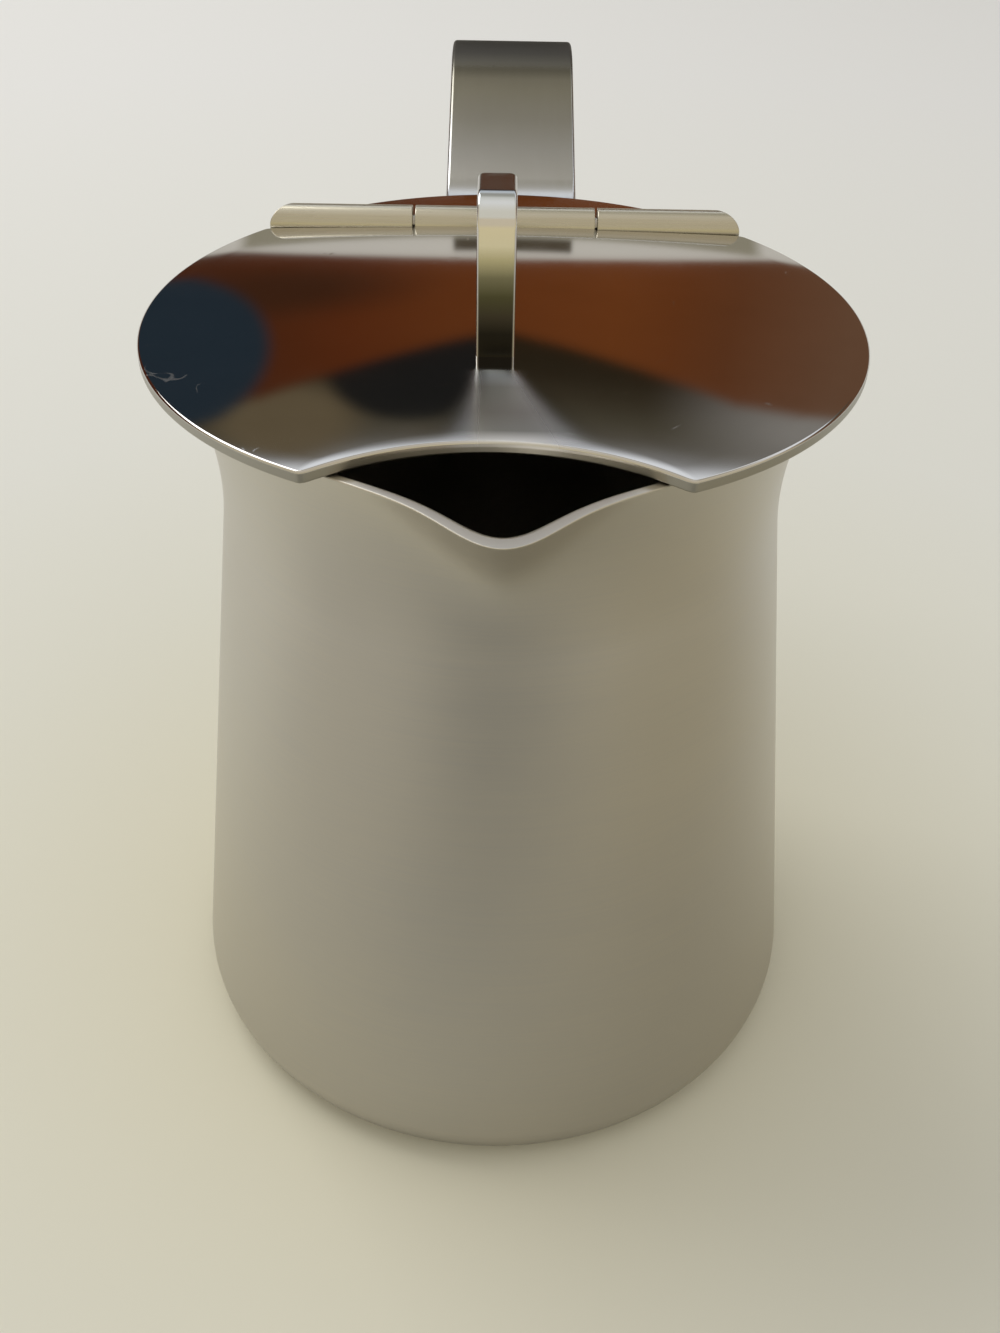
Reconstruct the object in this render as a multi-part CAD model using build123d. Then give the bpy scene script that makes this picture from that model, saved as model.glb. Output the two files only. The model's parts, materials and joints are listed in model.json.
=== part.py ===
from build123d import *
import math
import os

# A small stainless steel pitcher: conical body, pulled spout, hinged lid with a thumb lift, band handle.
# All sizes are millimetres. The origin is the centre of the flat base, +Z is up and the spout points to -Y.

# Body: a cone that narrows upwards, with a flared rim and a spout pulled out of it
sheet = 1.0
rim_height = 93.5
base_corner_radius = 42.3
cone_radius_at_rim = 29.4
base_edge_rounding = 5.0
base_plate_radius = 36.0
flare_height = 20.0
flare_reach = 5.2
spout_height = 19.8
spout_reach = 7.9
spout_lobe_degrees = 6.9
spout_narrowing = 0.45
straight_below_spout = 4.0

# Lid: a shallow dome with a round outline and a hollow arc cut out of its front
lid_radius = 39.0
lid_set_back = 2.0
lid_sheet = 1.3
lid_rise = 0.8
front_cut_depth = 9.9
front_cut_radius = 28.5
wing_tip_rounding = 1.2

# On the real lid the hollow arc and the thumb lift both stand a little to the left of the hinge's middle
lid_front_off_centre = 0.9

# Hinge: three knuckles on one pin, with their axis level with the lid's top edge, and a fixed cover behind it
rear_cover_depth = 11.0
knuckle_diameter = 4.3
centre_knuckle_length = 22.4
pin_diameter = 2.0
pin_length = 44.0
pin_running_clearance = 0.05
moving_gap = 0.3

# Thumb lift: a narrow strip that stands on the lid, in front of its centre, and bends back at its top
lift_width = 3.9
lift_sheet = 1.2
lift_foot_forward = 12.1
lift_height = 15.0
lift_lean_degrees = 10.0
lift_bend_radius = 3.4
lift_tip_length = 7.6
lift_tip_rounding = 0.8

# Handle: one flat band, from under the rear cover up to a gentle crest, over its back and down to the lower wall
# It too stands a little off the middle, on the other side from the lift
handle_width = 17.6
handle_sheet = 1.6
handle_root_behind_cover = 3.8
handle_root_radius = 16.0
handle_crest_behind_cover = 37.0
handle_crest_rise = 14.8
handle_crest_radius = 20.0
handle_back_behind_cover = 54.6
handle_back_rise = 2.5
handle_back_radius = 9.0
handle_foot_radius = 10.0
handle_foot_height = 25.0
handle_pad_length = 15.0
handle_off_centre = 0.8

# Places that follow from the sizes above
cone_slope = (base_corner_radius - cone_radius_at_rim) / rim_height
hinge_height = rim_height + lid_sheet
knuckle_radius = knuckle_diameter / 2
rear_cover_back = lid_set_back + lid_radius
hinge_set_back = rear_cover_back - rear_cover_depth
beyond = 4 * lid_radius


def cone_radius(height):
    return base_corner_radius - cone_slope * height


def share(height, length):
    """How far a height lies up the last stretch of the given length below the rim, from 0 to 1."""
    return max(0.0, (height - rim_height + length) / length)


def outer_radius(height, angle):
    """Outside of the body at a height and at an angle from the spout, in radians."""
    flare = flare_reach * share(height, flare_height) ** 2
    pull = share(height, spout_height)
    lobe = math.radians(spout_lobe_degrees) * (spout_narrowing + (1 - spout_narrowing) * pull)
    spout = spout_reach * pull**3 / math.cosh(angle / lobe) if pull > 0 else 0.0
    return cone_radius(height) + flare + spout


def inner_radius(height, angle):
    """Inside of the body, one sheet in from the outside and square to it."""
    step = 0.001
    radius = outer_radius(height, angle)
    up = (outer_radius(height, angle) - outer_radius(height - step, angle)) / step
    round_it = (outer_radius(height, angle + step) - outer_radius(height, angle - step)) / (2 * step)
    return radius - sheet * math.sqrt(1 + up**2 + (round_it / radius) ** 2)


def section(radius_at, height):
    """A closed level outline of the body, with its points close together at the spout."""
    count = 60
    crowding = 0.75
    turns = [2 * math.pi * number / count - math.pi for number in range(count)]
    points = []
    for turn in turns:
        angle = turn - crowding * math.sin(turn)
        radius = radius_at(height, angle)
        points.append((radius * math.sin(angle), -radius * math.cos(angle), height))
    outline = Edge.make_spline(points, periodic=True, parameters=turns + [math.pi])
    return Face(Wire([outline]))


def body_form(radius_at, floor, top, rounding):
    """A solid of the body's form from a floor to a top: plain cone below, flare and spout above."""
    middle = rim_height - spout_height - straight_below_spout
    levels = 11
    heights = [middle + (top - middle) * number / levels for number in range(levels + 1)]
    upper = loft([section(radius_at, height) for height in heights])
    lower = loft([section(radius_at, floor), section(radius_at, middle)], ruled=True)
    floor_edge = lower.edges().sort_by(Axis.Z)[0]
    return fillet(floor_edge, rounding) + upper


def outer_form():
    return body_form(outer_radius, 0.0, rim_height, base_edge_rounding)


def barrel(radius, length):
    """A round bar of any length along the hinge axis."""
    place = Pos(0, hinge_set_back, hinge_height) * Rot(0, 90, 0)
    return place * Cylinder(radius, length)


def round_column():
    """Everything inside the round outline that the lid, the knuckles and the rear cover share."""
    return Pos(0, lid_set_back, 0) * Cylinder(lid_radius, 2 * beyond)


def hinge_space():
    """The room for the whole barrel: snug round the fixed knuckles, with a gap round the turning one."""
    turning = barrel(knuckle_radius + moving_gap, centre_knuckle_length + 2 * moving_gap)
    return barrel(knuckle_radius, 2 * lid_radius) + turning


def body_shell():
    """The drawn and spun body, open at its mouth and at its bottom, notched where the knuckles cross its rim."""
    hollow = body_form(inner_radius, sheet, rim_height + sheet / 2, base_edge_rounding - sheet)
    shell = outer_form() - hollow
    shell -= Cylinder(base_plate_radius, 3 * sheet)
    return shell - hinge_space()


def base_plate():
    """The disc that closes the bottom, flush with the rounded edge that the object stands on."""
    return Cylinder(base_plate_radius, sheet, align=(Align.CENTER, Align.CENTER, Align.MIN))


def lid_top(distance):
    """Height of the lid's upper side at a distance from the lid's own centre."""
    curve = (lid_radius**2 + lid_rise**2) / (2 * lid_rise)
    return hinge_height + lid_rise - curve + math.sqrt(curve**2 - distance**2)


def lid_plate():
    """The domed lid: hollow arc at the front, straight rear edge, and a tab that reaches the centre knuckle."""
    middle = lid_radius / 2
    top = ThreePointArc((0, lid_top(0)), (middle, lid_top(middle)), (lid_radius, lid_top(lid_radius)))
    under = top.moved(Location((0, -lid_sheet, 0)))
    sides = [Line(top @ 1, under @ 1), Line(under @ 0, top @ 0)]
    half = make_face([top, under, *sides])
    disc = Pos(0, lid_set_back, 0) * revolve(Plane.XZ * half, Axis.Z)
    front = lid_set_back - lid_radius
    cut = Pos(-lid_front_off_centre, front + front_cut_depth - front_cut_radius, hinge_height)
    disc -= cut * Cylinder(front_cut_radius, 4 * knuckle_diameter)
    tips = disc.edges().filter_by(Axis.Z).filter_by_position(Axis.Y, -beyond, 0)
    disc = fillet(tips, wing_tip_rounding)
    rear_edge = hinge_set_back - knuckle_radius - moving_gap
    for side in (-1, 1):
        behind = Pos(side * (centre_knuckle_length / 2 + beyond / 2), rear_edge + beyond / 2, hinge_height)
        disc -= behind * Box(beyond, beyond, 4 * knuckle_diameter)
    behind = Pos(0, hinge_set_back + beyond / 2, hinge_height)
    disc -= behind * Box(beyond, beyond, 4 * knuckle_diameter)
    return disc - barrel(knuckle_radius, centre_knuckle_length)


def rear_cover():
    """The fixed crescent behind the hinge that carries on the lid's round outline over the handle."""
    plate = Pos(0, 0, rim_height + lid_sheet / 2) * Box(beyond, beyond, lid_sheet)
    plate &= Pos(0, hinge_set_back + beyond / 2, 0) * Box(beyond, beyond, 2 * beyond)
    plate &= round_column()
    return plate - hinge_space()


def side_knuckle(side):
    """A fixed knuckle from beside the centre knuckle out to the round outline, bored for the pin."""
    start = centre_knuckle_length / 2 + moving_gap
    length = lid_radius
    place = Pos(side * (start + length / 2), hinge_set_back, hinge_height) * Rot(0, 90, 0)
    knuckle = place * Cylinder(knuckle_radius, length)
    knuckle &= round_column()
    return knuckle - barrel(pin_diameter / 2, pin_length)


def centre_knuckle():
    """The knuckle that turns with the lid, bored to run on the pin."""
    return barrel(knuckle_radius, centre_knuckle_length) - barrel(
        pin_diameter / 2 + pin_running_clearance, centre_knuckle_length
    )


def hinge_pin():
    return barrel(pin_diameter / 2, pin_length)


def strip(points, radii, thickness, width):
    """A bent strip: its line runs in the YZ plane, its sheet lies to the right of it and its width along X."""
    line = FilletPolyline(*points, radius=radii)
    outline = Wire(line.edges()).offset_2d(thickness, kind=Kind.ARC, side=Side.RIGHT)
    flat = Plane.YZ * make_face(outline)
    return extrude(flat, width / 2, both=True)


def thumb_lift():
    """The strip for the thumb: it leans back a little, bends over and ends in a level rounded tip."""
    lean = math.radians(lift_lean_degrees)
    seat = lid_top(lift_foot_forward)
    front = lid_set_back - lift_foot_forward
    top = seat + lift_height
    foot = (front - lid_sheet / 2 * math.tan(lean), seat - lid_sheet / 2)
    corner = (front + lift_height * math.tan(lean), top)
    tip = (corner[0] + lift_tip_length, top)
    lift = strip([foot, corner, tip], lift_bend_radius, lift_sheet, lift_width)
    ends = lift.edges().filter_by(Axis.Z).sort_by(Axis.Y)[-2:]
    return Pos(-lid_front_off_centre, 0, 0) * fillet(ends, lift_tip_rounding) - lid_plate()


def handle_band():
    """The band handle: its upper end lies under the rear cover, its lower end is coped to the wall."""
    low = handle_foot_height - handle_pad_length
    high = handle_foot_height
    edge = handle_width / 2 + handle_off_centre
    hollow = cone_radius(low) - math.sqrt(cone_radius(low) ** 2 - edge**2)
    proud = handle_sheet - hollow
    points = [
        (cone_radius_at_rim, rim_height),
        (rear_cover_back + handle_root_behind_cover, rim_height),
        (rear_cover_back + handle_crest_behind_cover, rim_height + handle_crest_rise),
        (rear_cover_back + handle_back_behind_cover, rim_height + handle_back_rise),
        (cone_radius(high) + proud, high),
        (cone_radius(low) + proud, low),
    ]
    radii = [handle_root_radius, handle_crest_radius, handle_back_radius, handle_foot_radius]
    band = Pos(handle_off_centre, 0, 0) * strip(points, radii, handle_sheet, handle_width)
    return band - outer_form() - hinge_space()


pieces = {
    "body_shell": body_shell(),
    "base_plate": base_plate(),
    "rear_cover": rear_cover(),
    "left_hinge_knuckle": side_knuckle(-1),
    "right_hinge_knuckle": side_knuckle(1),
    "centre_hinge_knuckle": centre_knuckle(),
    "hinge_pin": hinge_pin(),
    "lid_plate": lid_plate(),
    "thumb_lift": thumb_lift(),
    "handle_band": handle_band(),
}

os.makedirs("parts", exist_ok=True)
for name, piece in pieces.items():
    export_step(piece, f"parts/{name}.step")
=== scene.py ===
import json
import math

import bmesh
import bpy
from mathutils import Matrix, Vector


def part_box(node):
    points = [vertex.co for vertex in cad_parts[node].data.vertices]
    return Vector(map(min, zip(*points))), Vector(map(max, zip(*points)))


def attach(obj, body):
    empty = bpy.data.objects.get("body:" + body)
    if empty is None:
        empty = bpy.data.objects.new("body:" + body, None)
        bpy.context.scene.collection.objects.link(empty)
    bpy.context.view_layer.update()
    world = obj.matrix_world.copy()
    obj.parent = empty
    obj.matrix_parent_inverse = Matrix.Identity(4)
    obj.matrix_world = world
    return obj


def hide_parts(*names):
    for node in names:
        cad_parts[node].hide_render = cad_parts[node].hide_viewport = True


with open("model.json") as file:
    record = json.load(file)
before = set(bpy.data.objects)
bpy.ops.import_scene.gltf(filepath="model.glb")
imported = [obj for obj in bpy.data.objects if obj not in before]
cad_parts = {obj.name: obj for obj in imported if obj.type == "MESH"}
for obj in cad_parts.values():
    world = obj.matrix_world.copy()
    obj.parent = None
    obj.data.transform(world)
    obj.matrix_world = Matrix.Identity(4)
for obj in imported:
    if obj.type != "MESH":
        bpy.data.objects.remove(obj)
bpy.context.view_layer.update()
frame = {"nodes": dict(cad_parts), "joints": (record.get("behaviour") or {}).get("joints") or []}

# Body shell
# One shell of stainless sheet, spun to a cone that narrows upwards, with its rim flared out and a spout
# pulled from the rim. The outside is brushed round and round to a satin, and the inside gets the same finish.
rim_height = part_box("body_shell")[1].z
sheet = 0.001
base_corner_radius = 0.0423
cone_radius_at_rim = 0.0294
cone_slope = (base_corner_radius - cone_radius_at_rim) / rim_height
base_edge_rounding = 0.005
base_plate_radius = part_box("base_plate")[1].x
flare_height = 0.020
flare_reach = 0.0052
spout_height = 0.0198
spout_reach = 0.0079
spout_lobe = math.radians(6.9)
spout_narrowing = 0.45
spout_crowding = 0.75
rim_edge_rounding = 0.00028


def share(height, length):
    """How far a height lies up the last stretch below the rim, from 0 to 1."""
    return max(0.0, (height - rim_height + length) / length)


def outer_radius(height, angle):
    """Outside of the body at a height and at an angle from the spout."""
    pull = share(height, spout_height)
    lobe = spout_lobe * (spout_narrowing + (1 - spout_narrowing) * pull)
    spout = spout_reach * pull**3 / math.cosh(angle / lobe) if pull > 0 else 0.0
    flare = flare_reach * share(height, flare_height) ** 2
    return base_corner_radius - cone_slope * height + flare + spout


def inner_radius(height, angle):
    """Inside of the body, one sheet in from the outside and square to it."""
    step = 0.00001
    turn = 0.001
    radius = outer_radius(height, angle)
    up = (radius - outer_radius(height - step, angle)) / step
    across = (outer_radius(height, angle + turn) - outer_radius(height, angle - turn)) / (2 * turn)
    return radius - sheet * math.sqrt(1 + up**2 + (across / radius) ** 2)


def wall_profile(radius_at, floor, rounding, fine):
    """Points of one side of the wall behind the handle, from the base plate's edge up to the rim."""
    lean = math.atan(cone_slope)
    slant = math.sqrt(1 + cone_slope**2)
    centre = radius_at(floor + rounding, math.pi) - rounding * slant
    points = [(base_plate_radius, floor)]
    bends = 8
    for number in range(bends + 1):
        turn = -math.pi / 2 + (math.pi / 2 + lean) * number / bends
        points.append((centre + rounding * math.cos(turn), floor + rounding + rounding * math.sin(turn)))
    low = points[-1][1]
    middle = rim_height - flare_height
    plain = 9
    for number in range(1, plain + 1):
        height = low + (middle - low) * number / plain
        points.append((radius_at(height, math.pi), height))
    for number in range(1, fine + 1):
        height = middle + (rim_height - middle) * number / fine
        points.append((radius_at(height, math.pi), height))
    return points


def finish_piece(mesh, name, material, body, node):
    """Makes a piece of a finished bmesh, with smooth faces and sharp corners, in the place of its CAD node.
    Where a flat or gently curved face meets a rounded edge, the larger face sets the shading."""
    bmesh.ops.remove_doubles(mesh, verts=mesh.verts, dist=0.000002)
    bmesh.ops.recalc_face_normals(mesh, faces=mesh.faces)
    mesh.normal_update()
    areas = {face: face.calc_area() for face in mesh.faces}
    sharpest_curve = math.radians(38)
    smooth_within = math.cos(sharpest_curve)
    normals = []
    for face in mesh.faces:
        for vertex in face.verts:
            near = [other for other in vertex.link_faces if other.normal.dot(face.normal) > smooth_within]
            total = sum((other.normal * areas[other] for other in near), Vector())
            normals.append(total.normalized() if total.length > 0 else face.normal.copy())
    data = bpy.data.meshes.new(name)
    mesh.to_mesh(data)
    mesh.free()
    data.shade_smooth()
    data.set_sharp_from_angle(angle=sharpest_curve)
    data.normals_split_custom_set(normals)
    data.materials.append(material)
    piece = bpy.data.objects.new(name, data)
    bpy.context.scene.collection.objects.link(piece)
    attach(piece, body)
    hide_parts(node)
    return piece


def calculated(tree, operation, *values):
    """A Math node on values that are each a socket or a number."""
    node = tree.nodes.new("ShaderNodeMath")
    node.operation = operation
    for socket, value in zip(node.inputs, values):
        if isinstance(value, (int, float)):
            socket.default_value = value
        else:
            tree.links.new(value, socket)
    return node.outputs[0]


def between(tree, value, start, end):
    """0 before start, 1 after end, and smooth between them."""
    node = tree.nodes.new("ShaderNodeMapRange")
    node.interpolation_type = "SMOOTHSTEP"
    tree.links.new(value, node.inputs["Value"])
    for name, limit in (("From Min", min(start, end)), ("From Max", max(start, end)),
                        ("To Min", float(start > end)), ("To Max", float(start < end))):
        node.inputs[name].default_value = limit
    return node.outputs["Result"]


def painted(tree, under, over, amount):
    """One colour laid over another by an amount from 0 to 1."""
    node = tree.nodes.new("ShaderNodeMix")
    node.data_type = "RGBA"
    sockets = node.inputs["Factor"], node.inputs["A"], node.inputs["B"]
    for socket, value in zip(sockets, (amount, under, over)):
        if isinstance(value, tuple):
            socket.default_value = (*value, 1)
        elif isinstance(value, float):
            socket.default_value = value
        else:
            tree.links.new(value, socket)
    return node.outputs["Result"]


def noise(tree, place, scale, detail):
    """A cloudy pattern around 0.5, with scale patches to the metre."""
    node = tree.nodes.new("ShaderNodeTexNoise")
    node.inputs["Scale"].default_value = scale
    node.inputs["Detail"].default_value = detail
    node.inputs["Roughness"].default_value = 0.58
    tree.links.new(place, node.inputs["Vector"])
    return node.outputs["Fac"]


def steel(name, colour, roughness, grain, depth, cloud=0.05, tint=(1.0, 1.0, 1.0)):
    """Stainless steel: a grain of fine lines, and clouds of slightly other tone and gloss.
    grain is how many lines a metre hold along each axis, and depth is how deep they are."""
    material = bpy.data.materials.new(name)
    material.use_nodes = True
    tree = material.node_tree
    shader = tree.nodes["Principled BSDF"]
    shader.inputs["Metallic"].default_value = 1.0

    place = tree.nodes.new("ShaderNodeTexCoord").outputs["Object"]
    lines_at = tree.nodes.new("ShaderNodeMapping")
    lines_at.inputs["Scale"].default_value = grain
    tree.links.new(place, lines_at.inputs["Vector"])
    lines = noise(tree, lines_at.outputs["Vector"], 1.0, 3.0)
    clouds = noise(tree, place, 38.0, 4.0)
    halves = [calculated(tree, "MULTIPLY", pattern, 0.5) for pattern in (lines, clouds)]
    mixed = between(tree, calculated(tree, "ADD", *halves), 0.3, 0.7)
    gloss = calculated(tree, "MULTIPLY_ADD", mixed, 0.2 * roughness, 0.9 * roughness)
    tree.links.new(gloss, shader.inputs["Roughness"])
    low = tuple(channel * (1 - cloud) for channel in colour)
    high = tuple(channel * (1 + cloud) * warm for channel, warm in zip(colour, tint))
    tree.links.new(painted(tree, low, high, mixed), shader.inputs["Base Color"])

    bump = tree.nodes.new("ShaderNodeBump")
    bump.inputs["Strength"].default_value = 0.35
    bump.inputs["Distance"].default_value = depth
    tree.links.new(lines, bump.inputs["Height"])
    tree.links.new(bump.outputs["Normal"], shader.inputs["Normal"])
    return material


shell = bmesh.new()
side = shell.verts.layers.int.new("inside")
outside = wall_profile(outer_radius, 0.0, base_edge_rounding, 36)
inside = wall_profile(inner_radius, sheet, base_edge_rounding - sheet, 18)
profile = [shell.verts.new((radius, 0, height)) for radius, height in outside + inside[::-1]]
edges = [shell.edges.new(pair) for pair in zip(profile, profile[1:] + profile[:1])]
for vertex in profile[len(outside):]:
    vertex[side] = 1
shell_turns = 288
bmesh.ops.spin(shell, geom=profile + edges, cent=(0, 0, 0), axis=(0, 0, 1), dvec=(0, 0, 0),
               angle=math.tau, steps=shell_turns, use_merge=True)
for vertex in shell.verts:
    turn = math.atan2(vertex.co.x, -vertex.co.y)
    angle = turn - spout_crowding * math.sin(turn)
    height = vertex.co.z
    radius_at = inner_radius if vertex[side] else outer_radius
    pulled = radius_at(height, angle) - radius_at(height, math.pi)
    radius = math.hypot(vertex.co.x, vertex.co.y) + pulled
    vertex.co = Vector((radius * math.sin(angle), -radius * math.cos(angle), height))
shell.normal_update()
rim_edges = [edge for edge in shell.edges if edge.calc_face_angle(0) > math.radians(35)
             and min(vertex.co.z for vertex in edge.verts) > rim_height - sheet / 10]
bmesh.ops.bevel(shell, geom=rim_edges, offset=rim_edge_rounding, offset_type="OFFSET", affect="EDGES",
                segments=3, profile=0.5, material=-1)

satin = (0.60, 0.575, 0.53)
satin_body = steel("satin_body", satin, 0.33, (70, 70, 3600), 0.000012, cloud=0.02, tint=(1.01, 1.0, 0.97))
finish_piece(shell, "satin_body_shell", satin_body, "vessel", "body_shell")

# Base plate
# A flat disc that closes the bottom, welded in flush with the rounded edge. It is turned on a lathe; here its
# grain is fine and even, without rings.
satin_base = steel("satin_base", satin, 0.38, (900, 900, 900), 0.00002)
frame["nodes"]["base_plate"].data.materials.clear()
frame["nodes"]["base_plate"].data.materials.append(satin_base)

# Lid plate
# A disc of the same sheet, pressed to a shallow dome, with a hollow arc cut out of its front so that the
# spout is open, and a straight rear edge with a tab that is brazed to the centre knuckle. Mirror polish.
hinge_back = frame["joints"][0]["pos_m"][1]
hinge_height = frame["joints"][0]["pos_m"][2]
lid_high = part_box("lid_plate")[1]
lid_sheet = hinge_height - rim_height
lid_radius = lid_high.x
lid_centre = 0.002
lid_rise = lid_high.z - hinge_height
lid_curve = (lid_radius**2 + lid_rise**2) / (2 * lid_rise)
knuckle_radius = 0.00215
moving_gap = 0.0003
rear_edge = hinge_back - knuckle_radius - moving_gap
tab_sunk = 0.0003
tab_back = hinge_back - knuckle_radius + tab_sunk
tab_half_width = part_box("centre_hinge_knuckle")[1].x
arc_radius = 0.0285
arc_depth = 0.0099
arc_centre = lid_radius - arc_depth + arc_radius
front_off_centre = -0.0009
corner_softness = 0.0009
lid_edge_rounding = 0.00028


def lid_top(distance):
    """Height of the lid's upper side at a distance from the lid's own centre."""
    return hinge_height + lid_rise - lid_curve + math.sqrt(lid_curve**2 - distance**2)


def softer_of(one, other, softness):
    """The smaller of two lengths, with the corner between them rounded off."""
    closeness = max(0.0, softness - abs(one - other)) / softness
    return min(one, other) - closeness**2 * softness / 4


def lid_outline(angle):
    """Distance from the lid's centre to its edge, at an angle from the front."""
    reach = lid_radius
    along = arc_centre * math.cos(angle) + front_off_centre * math.sin(angle)
    under = along**2 - arc_centre**2 - front_off_centre**2 + arc_radius**2
    if along > 0 and under > 0:
        reach = softer_of(reach, along - math.sqrt(under), corner_softness)
    if math.cos(angle) < 0:
        back = (rear_edge - lid_centre) / -math.cos(angle)
        if abs(back * math.sin(angle)) < tab_half_width:
            back = (tab_back - lid_centre) / -math.cos(angle)
        reach = softer_of(reach, back, corner_softness)
    return reach


lid = bmesh.new()
lid_rings = 14
top_row = [(lid_radius * number / lid_rings, 0.0) for number in range(lid_rings + 1)]
under_row = [(lid_radius * number / lid_rings, -lid_sheet) for number in range(lid_rings, -1, -1)]
profile = [lid.verts.new((radius, 0, height)) for radius, height in top_row + under_row]
edges = [lid.edges.new(pair) for pair in zip(profile, profile[1:])]
bmesh.ops.spin(lid, geom=profile + edges, cent=(0, 0, 0), axis=(0, 0, 1), dvec=(0, 0, 0),
               angle=math.tau, steps=720, use_merge=True)
bmesh.ops.remove_doubles(lid, verts=lid.verts, dist=0.000001)
for vertex in lid.verts:
    angle = math.atan2(vertex.co.x, -vertex.co.y)
    distance = math.hypot(vertex.co.x, vertex.co.y) * lid_outline(angle) / lid_radius
    height = lid_top(distance) + vertex.co.z
    vertex.co = Vector((distance * math.sin(angle), lid_centre - distance * math.cos(angle), height))
bmesh.ops.recalc_face_normals(lid, faces=lid.faces)
lid_edges = [edge for edge in lid.edges if edge.calc_face_angle(0) > math.radians(60)
             and abs(edge.verts[0].co.z - edge.verts[1].co.z) < sheet / 2]
bmesh.ops.bevel(lid, geom=lid_edges, offset=lid_edge_rounding, offset_type="OFFSET", affect="EDGES",
                segments=4, profile=0.5, material=-1)
bright = (0.66, 0.64, 0.61)
polished_lid = steel("polished_lid", bright, 0.045, (160, 160, 160), 0.000001, cloud=0.03)


def banded(tree, value, low, high, stops):
    """Colours along a value that runs from low to high, as (value, colour) in rising order."""
    ramp = tree.nodes.new("ShaderNodeValToRGB")
    ramp.color_ramp.interpolation = "LINEAR"
    along = calculated(tree, "DIVIDE", calculated(tree, "SUBTRACT", value, low), high - low)
    tree.links.new(along, ramp.inputs["Fac"])
    elements = ramp.color_ramp.elements
    for element, (place, colour) in zip(elements, (stops[0], stops[-1])):
        element.position = (place - low) / (high - low)
        element.color = (*colour, 1)
    for place, colour in stops[1:-1]:
        elements.new((place - low) / (high - low)).color = (*colour, 1)
    return ramp.outputs["Color"]


def coordinates(tree):
    """The three Object coordinates, in metres."""
    node = tree.nodes.new("ShaderNodeSeparateXYZ")
    tree.links.new(tree.nodes.new("ShaderNodeTexCoord").outputs["Object"], node.inputs[0])
    return node.outputs["X"], node.outputs["Y"], node.outputs["Z"]


def changed(tree, socket, value, amount):
    """Mixes another value or colour into what already feeds a socket, by an amount from 0 to 1."""
    before = socket.links[0].from_socket
    tree.links.new(painted(tree, before, value, amount), socket)


# The photograph shows a dull sector in front of the lift's foot, which widens and drifts to the right. It is
# given a duller finish here, whose cause is a guess, and its colour is a painted reflection: bluish white at
# the foot, dark further on and pale again at its far end. The cut edge and the underside are unpolished, and
# the top has a few fine scratches.
foot_front = -0.0126
sector_drift = 0.15
sector_half_width = 0.0016
sector_widening = 0.20
tree = polished_lid.node_tree
shader = tree.nodes["Principled BSDF"]
place = tree.nodes.new("ShaderNodeTexCoord").outputs["Object"]
right, back, up = coordinates(tree)
ahead = calculated(tree, "SUBTRACT", foot_front, back)
middle = calculated(tree, "MULTIPLY_ADD", ahead, sector_drift, front_off_centre)
aside = calculated(tree, "ABSOLUTE", calculated(tree, "SUBTRACT", right, middle))
half_width = calculated(tree, "MULTIPLY_ADD", ahead, sector_widening, sector_half_width)
spread = calculated(tree, "DIVIDE", aside, half_width)
sector = calculated(tree, "MULTIPLY", between(tree, spread, 2.3, 0.2), between(tree, ahead, -0.0006, 0.0006))
# The sector's colour is a painted reflection, set by distance ahead of the lift's foot.
sector_painted_reflection = banded(tree, ahead, 0, 0.016, [
    (0.0, (0.95, 1.0, 1.0)), (0.0015, (0.74, 0.79, 0.84)), (0.004, (0.40, 0.40, 0.39)),
    (0.009, (0.27, 0.26, 0.25)), (0.0125, (0.28, 0.28, 0.27)), (0.0142, (0.75, 0.75, 0.75))])
curl = calculated(tree, "ABSOLUTE", calculated(tree, "SUBTRACT", noise(tree, place, 85.0, 2.0), 0.5))
here_and_there = between(tree, noise(tree, place, 240.0, 1.0), 0.64, 0.70)
scratches = calculated(tree, "MULTIPLY", between(tree, curl, 0.004, 0.001), here_and_there)
scratches = calculated(tree, "MULTIPLY", scratches, 0.5)
unpolished = between(tree, up, hinge_height - 0.0001, hinge_height - 0.0003)
changed(tree, shader.inputs["Roughness"], (0.40, 0.40, 0.40), calculated(tree, "MULTIPLY", sector, sector))
changed(tree, shader.inputs["Roughness"], (0.30, 0.30, 0.30), scratches)
changed(tree, shader.inputs["Roughness"], (0.36, 0.36, 0.36), unpolished)
changed(tree, shader.inputs["Base Color"], sector_painted_reflection, sector)
changed(tree, shader.inputs["Base Color"], (0.40, 0.385, 0.34), unpolished)
finish_piece(lid, "polished_lid_plate", polished_lid, "lid", "lid_plate")

# Rear cover
# A crescent of the lid's sheet behind the hinge, brazed on the rim over the handle's root. It stays still
# and carries on the lid's round outline. Its top rises a little towards the back.
cover_low, cover_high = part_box("rear_cover")
cover_tilt = math.tan(math.radians(0.9))
cover = bmesh.new()
cover_back = lid_centre + lid_radius
cover_half_width = math.sqrt(lid_radius**2 - (hinge_back - lid_centre) ** 2)
stations = 48
turns = [math.pi / 2 * (2 * number / stations - 1) for number in range(stations + 1)]
front = [cover.verts.new((cover_half_width * math.sin(turn), hinge_back, cover_low.z)) for turn in turns]
front_edges = [cover.edges.new(pair) for pair in zip(front, front[1:])]
strip = bmesh.ops.extrude_edge_only(cover, edges=front_edges)
moved = [item for item in strip["geom"] if isinstance(item, bmesh.types.BMVert)]
for vertex in moved:
    vertex.co.y = lid_centre + math.sqrt(max(0.0, lid_radius**2 - vertex.co.x**2))
bmesh.ops.remove_doubles(cover, verts=cover.verts, dist=0.000002)
thickness = cover_high.z - cover_low.z
raised = bmesh.ops.extrude_face_region(cover, geom=cover.faces[:])
for vertex in [item for item in raised["geom"] if isinstance(item, bmesh.types.BMVert)]:
    vertex.co.z += thickness + (vertex.co.y - hinge_back) * cover_tilt
bmesh.ops.recalc_face_normals(cover, faces=cover.faces)
outline = [edge for edge in cover.edges if edge.calc_face_angle(0) > math.radians(60)
           and all(vertex.co.y > hinge_back + sheet / 10 for vertex in edge.verts)]
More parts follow.
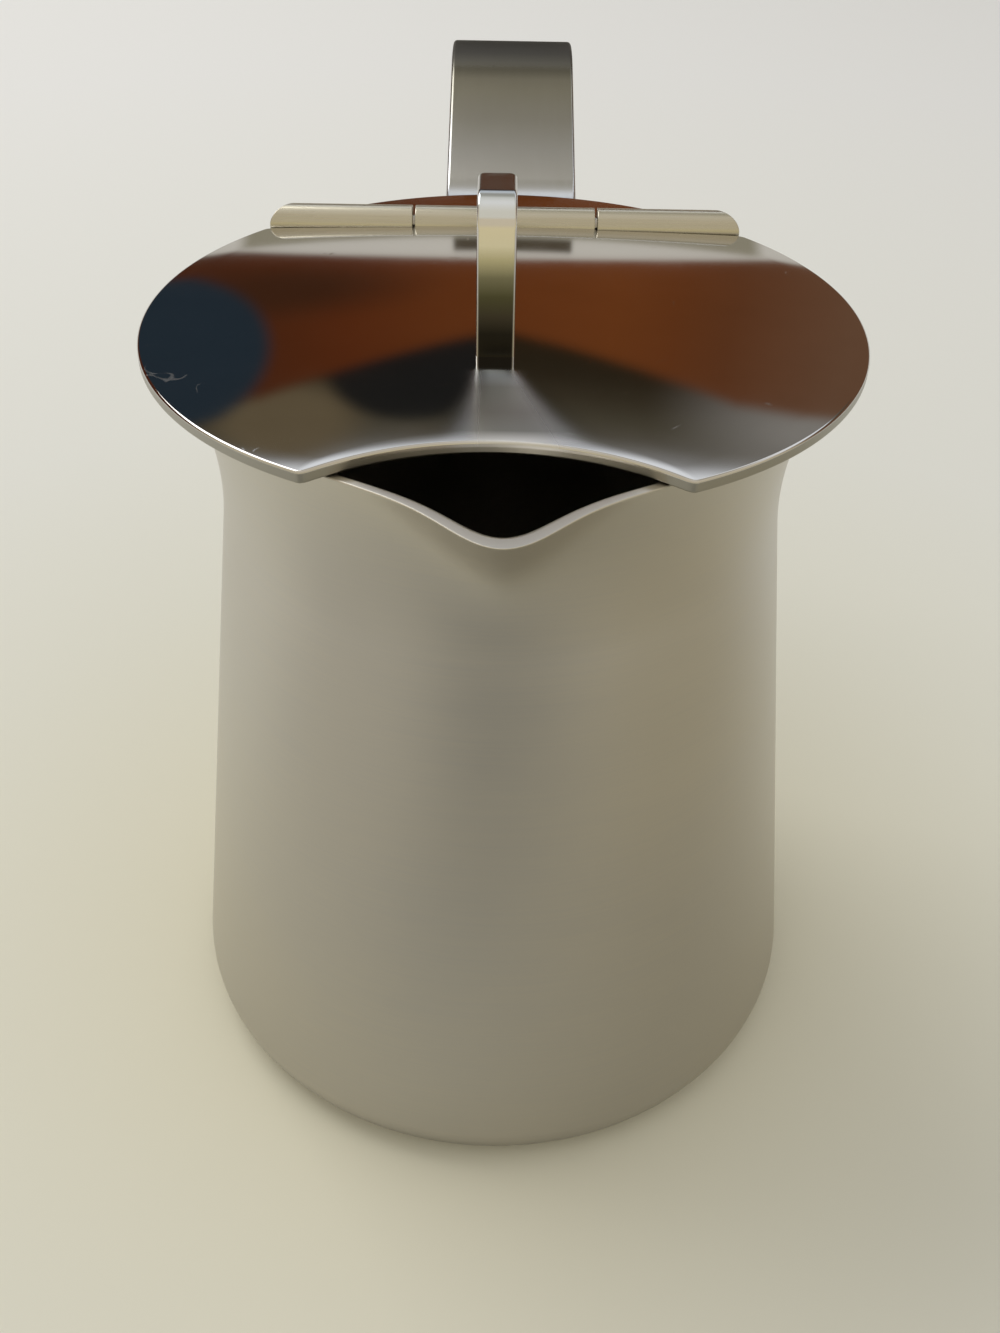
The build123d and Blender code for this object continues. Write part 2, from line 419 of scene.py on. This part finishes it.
bmesh.ops.bevel(cover, geom=outline, offset=lid_edge_rounding, offset_type="OFFSET", affect="EDGES",
                segments=3, profile=0.5, material=-1)
polished_cover = steel("polished_cover", bright, 0.06, (160, 160, 160), 0.000001, cloud=0.03)
finish_piece(cover, "polished_rear_cover", polished_cover, "vessel", "rear_cover")

# Hinge knuckles
# Three lengths of drawn tube on one pin. The outer two are brazed in notches in the rim, with their free ends
# closed and filed to the lid's round outline. The middle one is brazed to the lid's tab and turns with it.
knuckle_rounding = 0.00014
satin_knuckles = steel("satin_knuckles", (0.60, 0.57, 0.475), 0.27, (90, 3200, 3200), 0.00001, cloud=0.05)


def knuckle(node, body):
    """One knuckle: a closed tube along the hinge line, its outer end trimmed to the round outline."""
    low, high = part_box(node)
    trimmed = 1 if node.startswith("right") else -1 if node.startswith("left") else 0
    tube = bmesh.new()
    middle = Vector(((low.x + high.x) / 2, hinge_back, hinge_height))
    place = Matrix.Translation(middle) @ Matrix.Rotation(math.pi / 2, 4, "Y")
    bmesh.ops.create_cone(tube, cap_ends=True, cap_tris=False, segments=64, radius1=knuckle_radius,
                          radius2=knuckle_radius, depth=high.x - low.x, matrix=place)
    for vertex in tube.verts:
        if (vertex.co.x - middle.x) * trimmed > 0:
            vertex.co.x = trimmed * math.sqrt(lid_radius**2 - (vertex.co.y - lid_centre) ** 2)
    ends = [edge for edge in tube.edges
            if abs(edge.verts[0].co.x - edge.verts[1].co.x) < (high.x - low.x) / 3]
    bmesh.ops.bevel(tube, geom=ends, offset=knuckle_rounding, offset_type="OFFSET", affect="EDGES",
                    segments=3, profile=0.5, material=-1)
    finish_piece(tube, "satin_" + node, satin_knuckles, body, node)


knuckle("left_hinge_knuckle", "vessel")
knuckle("right_hinge_knuckle", "vessel")
knuckle("centre_hinge_knuckle", "lid")

# Hinge pin
# A length of bright drawn wire through the three knuckles, held in the outer two, so that the middle one
# turns on it. It only shows in the gaps.
steel_pin = steel("steel_pin", (0.55, 0.53, 0.5), 0.25, (90, 3200, 3200), 0.00001)
frame["nodes"]["hinge_pin"].data.materials.clear()
frame["nodes"]["hinge_pin"].data.materials.append(steel_pin)

# Thumb lift
# A narrow strip, brazed on the lid by its foot. It leans back a little and bends over to a nearly level tip
# for the thumb. Polished, with bright broken edges. Its faces carry a painted reflection, set by height to
# match the photograph: black at the foot, olive and straw up the face, bluish white over the bend, darker on
# top.
lift_width = 0.0039
lift_sheet = 0.0012
lift_lean = math.radians(10)
lift_height = 0.015
lift_bend = 0.0034
lift_tip_length = 0.0076
lift_tip_rounding = 0.0008
lift_tip_tilt = math.radians(1.8)
lift_edge_rounding = 0.00032
lift_foot_forward = 0.0121
lift_front = lid_centre - lift_foot_forward


def bent_strip(points, radii, thickness, width, rounding, tip_rounding=0.0):
    """A strip bent along corner points in the YZ plane, its sheet to the right of the way along them.
    tip_rounding rounds off the two corners of its last end, as seen square to its face."""
    strip = bmesh.new()
    across = 2
    row = [strip.verts.new((width * (number / across - 0.5), *points[0])) for number in range(across + 1)]
    last = row + [strip.edges.new(pair) for pair in zip(row, row[1:])]
    here = Vector(points[0])
    spots = [Vector(point) for point in points]
    for number, corner in enumerate(spots[1:], start=1):
        way = (corner - here).normalized()
        cut = 0.0
        if number < len(spots) - 1:
            onward = (spots[number + 1] - corner).normalized()
            turn = way.angle_signed(onward) * -1
            cut = radii[number - 1] * math.tan(abs(turn) / 2)
        run = (corner - here).length - cut
        steps = 3
        for step in range(steps):
            edges = [item for item in last if isinstance(item, bmesh.types.BMEdge)]
            last = bmesh.ops.extrude_edge_only(strip, edges=edges)["geom"]
            verts = [item for item in last if isinstance(item, bmesh.types.BMVert)]
            bmesh.ops.translate(strip, verts=verts, vec=(0, way.x * run / steps, way.y * run / steps))
        here = here + way * run
        if number < len(spots) - 1:
            left = 1 if turn > 0 else -1
            centre = here + Vector((-way.y, way.x)) * radii[number - 1] * left
            geom = [item for item in last if not isinstance(item, bmesh.types.BMFace)]
            last = bmesh.ops.spin(strip, geom=geom, cent=(0, centre.x, centre.y), axis=(1, 0, 0),
                                  dvec=(0, 0, 0), angle=turn, steps=14, use_merge=False)["geom_last"]
            here = corner + onward * cut
    bmesh.ops.recalc_face_normals(strip, faces=strip.faces)
    right = Vector((0, way.y, -way.x))
    if strip.faces[:][-1].normal.dot(right) > 0:
        bmesh.ops.reverse_faces(strip, faces=strip.faces)
    bmesh.ops.solidify(strip, geom=strip.faces[:], thickness=thickness)
    bmesh.ops.recalc_face_normals(strip, faces=strip.faces)
    if tip_rounding:
        corners = [edge for edge in strip.edges if edge.calc_face_angle(0) > math.radians(60)
                   and abs(edge.calc_length() - thickness) < thickness / 4
                   and all((vertex.co.yz - spots[-1]).length < 1.5 * thickness for vertex in edge.verts)
                   and all(abs(vertex.co.x) > 0.49 * width for vertex in edge.verts)]
        bmesh.ops.bevel(strip, geom=corners, offset=tip_rounding, offset_type="OFFSET", affect="EDGES",
                        segments=8, profile=0.5, material=-1)
    sharp = [edge for edge in strip.edges if edge.calc_face_angle(0) > math.radians(60)]
    bmesh.ops.bevel(strip, geom=sharp, offset=rounding, offset_type="OFFSET", affect="EDGES",
                    segments=4, profile=0.5, material=-1)
    return strip


seat = lid_top(lid_centre - lift_front)
sunk = lid_top(0) - hinge_height
foot = (lift_front - sunk * math.tan(lift_lean), seat - sunk)
corner = (lift_front + lift_height * math.tan(lift_lean), seat + lift_height)
tip = (corner[0] + lift_tip_length, corner[1])
lift = bent_strip([foot, corner, tip], [lift_bend], lift_sheet, lift_width, lift_edge_rounding,
                  lift_tip_rounding)
bmesh.ops.translate(lift, verts=lift.verts, vec=(front_off_centre, 0, 0))
for vertex in lift.verts:
    vertex.co.z += max(0.0, vertex.co.y - corner[0] - lift_bend) * math.tan(lift_tip_tilt)
polished_lift = steel("polished_lift", bright, 0.14, (3000, 120, 120), 0.000006, cloud=0.04)
tree = polished_lift.node_tree
shader = tree.nodes["Principled BSDF"]
right, back, up = coordinates(tree)
aside = calculated(tree, "ABSOLUTE", calculated(tree, "SUBTRACT", right, front_off_centre))
on_faces = between(tree, aside, 0.00188, 0.00166)
# Painted reflection by height: black at the foot, olive and straw up the face, bluish white over the bend.
lift_painted_reflection = banded(tree, up, 0.094, 0.111, [
    (0.0978, (0.010, 0.008, 0.005)), (0.0995, (0.050, 0.043, 0.033)), (0.1014, (0.083, 0.083, 0.047)),
    (0.1032, (0.20, 0.20, 0.15)), (0.1049, (0.52, 0.51, 0.40)), (0.1062, (0.77, 0.76, 0.72)),
    (0.1086, (0.80, 0.77, 0.72)), (0.1088, (0.84, 0.90, 0.97)), (0.1102, (0.84, 0.90, 0.97)),
    (0.1105, (0.36, 0.38, 0.38))])
changed(tree, shader.inputs["Base Color"], lift_painted_reflection, calculated(tree, "MULTIPLY", on_faces, 0.98))
finish_piece(lift, "polished_thumb_lift", polished_lift, "lid", "thumb_lift")

# Handle band
# One flat band of thicker sheet. Its level root is brazed under the rear cover. It rises to a gentle crest
# and comes down to the lower wall, where its foot is coped to the cone and brazed. Satin. Its colour is a
# painted reflection, set by height to match the photograph: darker upwards and nearly black at the crest.
handle_low, handle_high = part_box("handle_band")
handle_width = handle_high.x - handle_low.x
handle_sheet = 0.0016
handle_foot_height = 0.025
handle_pad_length = 0.015
handle_off_centre = (handle_low.x + handle_high.x) / 2
root_behind_cover = 0.0038
crest_behind_cover = 0.037
crest_rise = 0.0148
back_behind_cover = 0.0546
back_rise = 0.0025
handle_bends = (0.016, 0.020, 0.009, 0.010)
handle_edge_rounding = 0.0005


def cone_radius(height):
    return base_corner_radius - cone_slope * height


pad_low = handle_foot_height - handle_pad_length
hollow = cone_radius(pad_low) - math.sqrt(cone_radius(pad_low) ** 2 - handle_high.x**2)
proud = handle_sheet - hollow
root = (cone_radius_at_rim, rim_height)
bend = (cover_back + root_behind_cover, rim_height)
crest = (cover_back + crest_behind_cover, rim_height + crest_rise)
back = (cover_back + back_behind_cover, rim_height + back_rise)
heel = (cone_radius(handle_foot_height) + proud, handle_foot_height)
toe = (cone_radius(pad_low) + proud, pad_low)
handle = bent_strip([root, bend, crest, back, heel, toe], handle_bends, handle_sheet, handle_width,
                    handle_edge_rounding)
bmesh.ops.translate(handle, verts=handle.verts, vec=(handle_off_centre, 0, 0))
satin_handle = steel("satin_handle", (0.60, 0.59, 0.57), 0.2, (2600, 110, 110), 0.000008, cloud=0.03)
tree = satin_handle.node_tree
shader = tree.nodes["Principled BSDF"]
up = coordinates(tree)[2]
# Painted reflection by height: paler low down, darker upwards and nearly black at the crest.
crest_painted_reflection = banded(tree, up, 0.090, 0.110, [
    (0.0945, (0.62, 0.62, 0.62)), (0.097, (0.50, 0.50, 0.50)), (0.0995, (0.38, 0.37, 0.34)),
    (0.102, (0.33, 0.315, 0.26)), (0.1030, (0.285, 0.27, 0.22)), (0.1038, (0.145, 0.136, 0.105)),
    (0.1045, (0.068, 0.063, 0.046)),
    (0.1051, (0.030, 0.027, 0.019)), (0.106, (0.026, 0.023, 0.016))])
changed(tree, shader.inputs["Base Color"], crest_painted_reflection, 0.92)
changed(tree, shader.inputs["Roughness"], (0.5, 0.5, 0.5), between(tree, up, 0.1036, 0.1050))
finish_piece(handle, "satin_handle_band", satin_handle, "vessel", "handle_band")

# Studio
# A plain pale floor, one large soft lamp from behind on the left, and a soft room for the polished steel to
# mirror: pale low walls, a brown and a dark zone behind, a bright strip above them and a warm ceiling. A
# dark flag above the handle's crest, which only reflections see, keeps the bright strip off it.
scene = bpy.context.scene
floor_mesh = bmesh.new()
bmesh.ops.create_grid(floor_mesh, x_segments=4, y_segments=4, size=2.5)
floor_data = bpy.data.meshes.new("floor")
floor_mesh.to_mesh(floor_data)
floor_mesh.free()
floor = bpy.data.objects.new("floor", floor_data)
scene.collection.objects.link(floor)
floor_material = bpy.data.materials.new("floor_paper")
floor_material.use_nodes = True
ground = floor_material.node_tree
paper = ground.nodes["Principled BSDF"]
paper.inputs["Roughness"].default_value = 0.9
floor_data.materials.append(floor_material)

world = bpy.data.worlds.new("soft_room")
world.use_nodes = True
scene.world = world
sky = world.node_tree
backdrop = sky.nodes["Background"]


def oval(tree, along, up, centre, size, soft):
    """A soft oval patch on a flat map: 1 in its middle and 0 outside."""
    sideways = calculated(tree, "DIVIDE", calculated(tree, "SUBTRACT", along, centre[0]), size[0])
    upwards = calculated(tree, "DIVIDE", calculated(tree, "SUBTRACT", up, centre[1]), size[1])
    square = calculated(tree, "MULTIPLY", sideways, sideways)
    away = calculated(tree, "SQRT", calculated(tree, "MULTIPLY_ADD", upwards, upwards, square))
    return between(tree, away, 1 + soft, 1 - soft)


def box_patch(tree, along, up, low, high, soft):
    """A soft upright rectangle on a flat map."""
    patch = calculated(tree, "MULTIPLY", between(tree, along, low[0] - soft, low[0] + soft),
                       between(tree, along, high[0] + soft, high[0] - soft))
    patch = calculated(tree, "MULTIPLY", patch, between(tree, up, low[1] - soft, low[1] + soft))
    return calculated(tree, "MULTIPLY", patch, between(tree, up, high[1] + soft, high[1] - soft))


# Every direction is mapped by its azimuth and elevation in degrees, with azimuth 0 behind the pitcher.
way = sky.nodes.new("ShaderNodeTexCoord")
parts = sky.nodes.new("ShaderNodeSeparateXYZ")
sky.links.new(way.outputs["Generated"], parts.inputs[0])
degrees = 180 / math.pi
elevation = calculated(sky, "MULTIPLY", calculated(sky, "ARCSINE", parts.outputs["Z"]), degrees)
azimuth = calculated(sky, "ARCTAN2", parts.outputs["X"], parts.outputs["Y"])
azimuth = calculated(sky, "MULTIPLY", azimuth, degrees)
sideways = calculated(sky, "ABSOLUTE", azimuth)

near_side = banded(sky, elevation, -10, 90, [
    (-10, (0.72, 0.64, 0.40)), (5, (0.70, 0.62, 0.40)), (15, (0.62, 0.56, 0.44)), (60, (0.63, 0.57, 0.46)),
    (90, (0.72, 0.68, 0.62))])
above = banded(sky, elevation, 0, 90, [
    (24.5, (0.020, 0.014, 0.007)), (27.5, (0.028, 0.021, 0.012)), (29, (0.045, 0.036, 0.022)),
    (30.5, (0.075, 0.066, 0.045)), (31.5, (0.10, 0.09, 0.07)), (32.6, (0.25, 0.25, 0.25)),
    (34, (0.95, 1.0, 1.08)), (44, (0.95, 0.97, 1.0)), (50, (0.50, 0.48, 0.42)), (60, (0.36, 0.34, 0.28)),
    (72, (0.60, 0.57, 0.50)), (90, (0.72, 0.68, 0.62))])
for colour, centre, size, soft in (((0.135, 0.105, 0.062), (-12.0, 30.0), (4.0, 2.6), 0.4),
                                   ((0.0127, 0.0127, 0.0122), (-4.6, 27.3), (4.6, 3.2), 0.15),
                                   ((0.26, 0.25, 0.235), (18.5, 29.0), (6.0, 3.5), 0.8)):
    above = painted(sky, above, colour, oval(sky, azimuth, elevation, centre, size, soft))
brown = banded(sky, azimuth, -20, 20, [
    (-14, (0.075, 0.022, 0.0085)), (-8, (0.11, 0.028, 0.0085)), (-3, (0.135, 0.038, 0.0107)),
    (6, (0.165, 0.049, 0.013)), (9, (0.145, 0.044, 0.013)), (12, (0.13, 0.046, 0.018)),
    (18, (0.15, 0.078, 0.045))])
brown_top = calculated(sky, "MULTIPLY_ADD", calculated(sky, "MINIMUM", sideways, 13.0), -0.29, elevation)
brown_foot = calculated(sky, "MULTIPLY_ADD", calculated(sky, "MULTIPLY", azimuth, azimuth), 0.0095, elevation)
far_side = painted(sky, brown, above, between(sky, brown_top, 23.9, 25.0))
for colour, centre, size, soft in (((0.055, 0.020, 0.009), (-11.0, 20.9), (5.5, 1.7), 0.7),
                                   ((0.0195, 0.031, 0.044), (-18.1, 24.1), (6.1, 5.6), 0.10)):
    far_side = painted(sky, far_side, colour, oval(sky, azimuth, elevation, centre, size, soft))
dim_foot = between(sky, sideways, 13.0, 12.0)
dim_foot = calculated(sky, "MULTIPLY", between(sky, elevation, 17.5, 17.2), dim_foot)
low_wall = painted(sky, (0.64, 0.62, 0.57), (0.31, 0.29, 0.22), dim_foot)
far_side = painted(sky, low_wall, far_side, between(sky, brown_foot, 18.9, 19.3))
behind_crest = box_patch(sky, azimuth, elevation, (-2.3, 17.4), (3.5, 18.45), 0.14)
far_side = painted(sky, far_side, (0.065, 0.050, 0.030), behind_crest)
room = painted(sky, near_side, far_side, between(sky, parts.outputs["Y"], -0.1, 0.35))

# Only reflections see the painted zones. The camera and the diffuse light see plain pale walls instead.
ray = sky.nodes.new("ShaderNodeLightPath")
room = painted(sky, room, (0.635, 0.63, 0.62), ray.outputs["Is Diffuse Ray"])
room = painted(sky, room, (0.76, 0.75, 0.72), ray.outputs["Is Camera Ray"])
sky.links.new(room, backdrop.inputs["Color"])
backdrop.inputs["Strength"].default_value = 1.0

# The floor is a little yellower near the pitcher, a painted warm shade. Reflections alone also see
# painted shade on it in three soft places.
right, back, up = coordinates(ground)
square = calculated(ground, "MULTIPLY", right, right)
away = calculated(ground, "SQRT", calculated(ground, "MULTIPLY_ADD", back, back, square))
tone = banded(ground, away, 0, 0.6, [
    (0.04, (0.78, 0.745, 0.585)), (0.1, (0.78, 0.765, 0.66)), (0.17, (0.79, 0.785, 0.72)),
    (0.5, (0.80, 0.795, 0.77))])
mirrored = ground.nodes.new("ShaderNodeLightPath").outputs["Is Glossy Ray"]
for centre, size, colour in (((-0.02, -0.23), (0.17, 0.17), (0.34, 0.335, 0.30)),
                             ((0.18, -0.09), (0.13, 0.13), (0.52, 0.475, 0.35)),
                             ((-0.15, -0.14), (0.09, 0.11), (0.58, 0.56, 0.49))):
    shade = oval(ground, right, back, centre, size, 0.6)
    tone = painted(ground, tone, colour, calculated(ground, "MULTIPLY", shade, mirrored))
# Reflections alone see the floor far in front painted tan, a painted reflection.
far_front = calculated(ground, "MULTIPLY", between(ground, back, -0.7, -1.1), mirrored)
tone = painted(ground, tone, (0.80, 0.71, 0.44), far_front)
ground.links.new(tone, paper.inputs["Base Color"])

flag_mesh = bmesh.new()
flag_low, flag_high, flag_back = 0.1062, 0.1128, 0.0905
flag_left, flag_right, flag_cut = -0.0085, 0.0105, 0.002
corners = [(flag_left, flag_low), (flag_right, flag_low), (flag_right, flag_high - flag_cut),
           (flag_right - flag_cut, flag_high), (flag_left + flag_cut, flag_high),
           (flag_left, flag_high - flag_cut)]
flag_mesh.faces.new([flag_mesh.verts.new((x, flag_back, z)) for x, z in corners])
flag_data = bpy.data.meshes.new("flag")
flag_mesh.to_mesh(flag_data)
flag_mesh.free()
flag = bpy.data.objects.new("flag", flag_data)
scene.collection.objects.link(flag)
flag_cloth = bpy.data.materials.new("flag_cloth")
flag_cloth.use_nodes = True
cloth = flag_cloth.node_tree.nodes["Principled BSDF"]
cloth.inputs["Base Color"].default_value = (0.10, 0.085, 0.06, 1)
cloth.inputs["Roughness"].default_value = 1.0
flag_data.materials.append(flag_cloth)
flag.visible_camera = False
flag.visible_diffuse = False
flag.visible_shadow = False

lamp_data = bpy.data.lights.new("soft_lamp", "AREA")
lamp_data.shape = "RECTANGLE"
lamp_data.size = lamp_data.size_y = 0.9
lamp_data.energy = 6.5
lamp_data.color = (1.0, 0.99, 0.97)
lamp = bpy.data.objects.new("soft_lamp", lamp_data)
scene.collection.objects.link(lamp)
lamp.location = (-0.7, 0.55, 1.1)
lamp.rotation_euler = (Vector((0, 0, 0.05)) - lamp.location).to_track_quat("-Z", "Y").to_euler()

# Camera
# It stands where the photograph was taken from: above and in front of the spout, held slightly askew. The
# focal length is in the photograph's pixels.
camera_place = Vector((-0.00057, -0.1327, 0.1524))
camera_turn = math.radians(-0.36)
camera_pitch = math.radians(38.27)
camera_roll = math.radians(1.1)
photo_height = 1333
photo_focal_length = 1300
camera_data = bpy.data.cameras.new("camera")
camera_data.sensor_width = 36
camera_data.lens = camera_data.sensor_width * photo_focal_length / photo_height
camera_data.clip_start = 0.01
camera = bpy.data.objects.new("camera", camera_data)
scene.collection.objects.link(camera)
aim = Matrix.Rotation(camera_turn, 4, "Z") @ Matrix.Rotation(math.pi / 2 - camera_pitch, 4, "X")
camera.matrix_world = Matrix.Translation(camera_place) @ aim @ Matrix.Rotation(camera_roll, 4, "Z")
scene.camera = camera
scene.view_settings.view_transform = "Standard"
